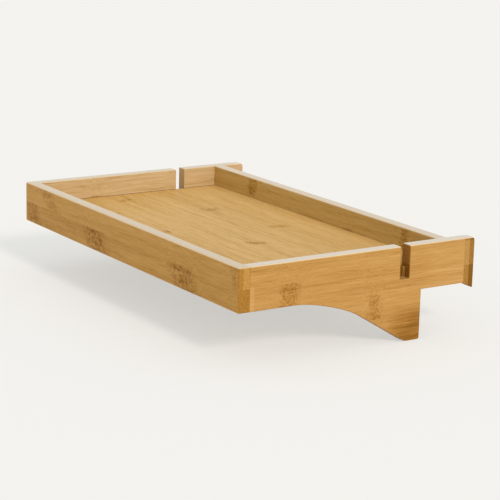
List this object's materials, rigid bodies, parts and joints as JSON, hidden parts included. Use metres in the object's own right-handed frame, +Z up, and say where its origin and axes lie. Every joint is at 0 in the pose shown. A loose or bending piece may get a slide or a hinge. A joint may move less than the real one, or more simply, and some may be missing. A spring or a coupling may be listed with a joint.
{
  "type": "clip on bedside shelf",
  "caption": "Shallow bamboo bedside tray that hooks over the side rail of a bed frame, with a foot and a lipped arm on each side board and a cable slot in each.",
  "frame": {"origin": "under the middle of the shelf, level with the soles of the two feet", "axes": "+X along the shelf to the right as seen from the front, +Y from the front board towards the bed, +Z up"},
  "size_m": [0.42, 0.267, 0.0925],
  "materials": {
    "bamboo": "clear satin lacquer over carbonised bamboo, grain along each board",
    "bamboo_block": "clear satin lacquer over darker bamboo end grain",
    "dowel_wood": "bare beech, fluted and glued"
  },
  "bodies": {
    "root": {"front_board": "bamboo", "side_board_left": "bamboo", "side_board_right": "bamboo", "back_board": "bamboo", "shelf_panel": "bamboo", "clip_lip_left": "bamboo_block", "clip_lip_right": "bamboo_block", "front_dowels_left": "dowel_wood", "front_dowels_right": "dowel_wood", "back_dowels_left": "dowel_wood", "back_dowels_right": "dowel_wood", "lip_dowels_left": "dowel_wood", "lip_dowels_right": "dowel_wood"}
  },
  "joints": []
}
